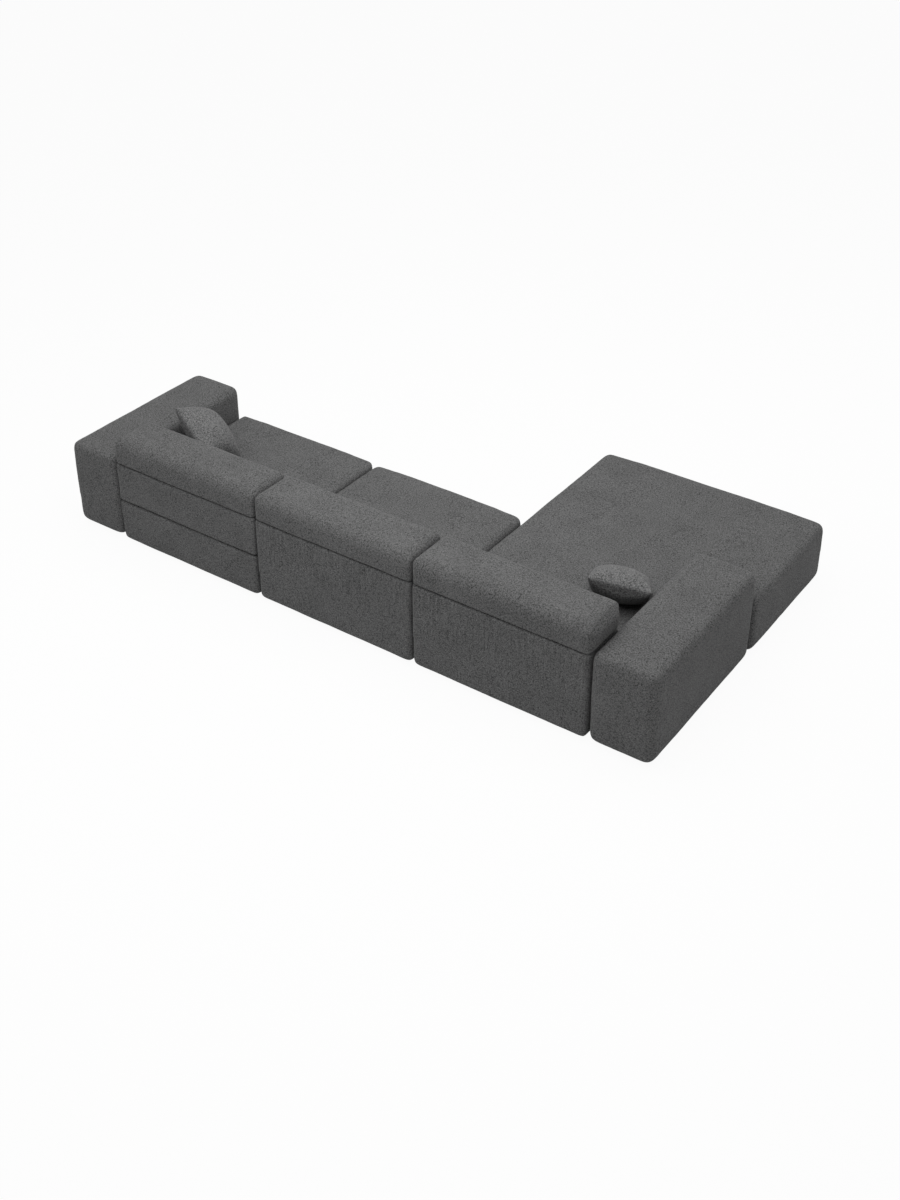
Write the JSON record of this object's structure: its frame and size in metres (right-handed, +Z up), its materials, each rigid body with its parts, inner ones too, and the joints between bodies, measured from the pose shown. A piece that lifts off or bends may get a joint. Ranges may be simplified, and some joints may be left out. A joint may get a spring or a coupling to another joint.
{
  "type": "corner sofa",
  "caption": "Low corner sofa in grey boucle with box arms, a chaise at the right, full-width tilting headrests, a reclining left back and loose scatter cushions.",
  "frame": {"origin": "middle of the bounding box, on the floor", "axes": "+X to the sitter's left along the backs, +Y to the rear, +Z up"},
  "size_m": [4.06, 2.088, 0.798],
  "materials": {
    "boucle": "looped dark grey pile",
    "cushion_boucle": "coarse grey pile",
    "elastic_webbing": "woven elastic",
    "dust_cloth": "spunbond cloth",
    "plywood": "unfinished",
    "timber": "planed, unfinished",
    "foot_plastic": "moulded black",
    "felt": "pressed felt",
    "steel": "zinc plated"
  },
  "bodies": {
    "sofa": {"arm_bolts": "steel", "arm_dust_covers": "dust_cloth", "back_bolts": "steel", "chaise_dust_cover": "dust_cloth", "chaise_frame": "timber", "chaise_upholstery": "boucle", "chaise_webbing": "elastic_webbing", "feet": "foot_plastic", "foot_bolts": "steel", "foot_glides": "felt", "hinge_screws": "steel", "left_arm_frame": "plywood", "left_arm_upholstery": "boucle", "left_seat_dust_cover": "dust_cloth", "left_seat_frame": "timber", "left_seat_upholstery": "boucle", "left_seat_webbing": "elastic_webbing", "link_hooks": "steel", "link_screws": "steel", "link_sockets": "steel", "middle_back_frame": "plywood", "middle_back_upholstery": "boucle", "middle_back_webbing": "elastic_webbing", "middle_headrest_brackets": "steel", "middle_headrest_pins": "steel", "middle_seat_dust_cover": "dust_cloth", "middle_seat_frame": "timber", "middle_seat_upholstery": "boucle", "middle_seat_webbing": "elastic_webbing", "recline_brackets": "steel", "recline_pins": "steel", "right_arm_frame": "plywood", "right_arm_upholstery": "boucle", "right_back_frame": "plywood", "right_back_upholstery": "boucle", "right_back_webbing": "elastic_webbing", "right_headrest_brackets": "steel", "right_headrest_pins": "steel"},
    "left_back": {"left_back_upholstery": "boucle", "left_back_frame": "plywood", "left_back_webbing": "elastic_webbing", "left_back_screws": "steel", "left_headrest_brackets": "steel", "left_headrest_pins": "steel", "recline_arms": "steel"},
    "left_cushion": {"left_scatter_cushion": "cushion_boucle"},
    "right_cushion": {"right_scatter_cushion": "cushion_boucle"},
    "left_headrest": {"left_headrest_upholstery": "boucle", "left_headrest_frame": "plywood", "left_headrest_arms": "steel", "left_headrest_screws": "steel"},
    "middle_headrest": {"middle_headrest_upholstery": "boucle", "middle_headrest_frame": "plywood", "middle_headrest_arms": "steel", "middle_headrest_screws": "steel"},
    "right_headrest": {"right_headrest_upholstery": "boucle", "right_headrest_frame": "plywood", "right_headrest_arms": "steel", "right_headrest_screws": "steel"}
  },
  "joints": [
    {"name": "left_headrest_tilt", "type": "hinge", "parent": "left_back", "child": "left_headrest", "pos_m": [1.1, 0.784, 0.615], "axis": [1, 0, 0], "range_deg": [0, 50]},
    {"name": "middle_headrest_tilt", "type": "hinge", "parent": "sofa", "child": "middle_headrest", "pos_m": [0, 0.784, 0.615], "axis": [1, 0, 0], "range_deg": [0, 50]},
    {"name": "right_headrest_tilt", "type": "hinge", "parent": "sofa", "child": "right_headrest", "pos_m": [-1.1, 0.784, 0.615], "axis": [1, 0, 0], "range_deg": [0, 50]},
    {"name": "left_back_recline", "type": "hinge", "parent": "sofa", "child": "left_back", "pos_m": [1.1, 1.022, 0.3285], "axis": [-1, 0, 0], "range_deg": [0, 12]},
    {"name": "left_cushion_lift", "type": "slide", "parent": "sofa", "child": "left_cushion", "axis": [-0.4, -0.6501, 0.6461], "range_m": [0, 0.5]},
    {"name": "right_cushion_lift", "type": "slide", "parent": "sofa", "child": "right_cushion", "axis": [0.3, -0.4, 0.866], "range_m": [0, 0.5]}
  ]
}
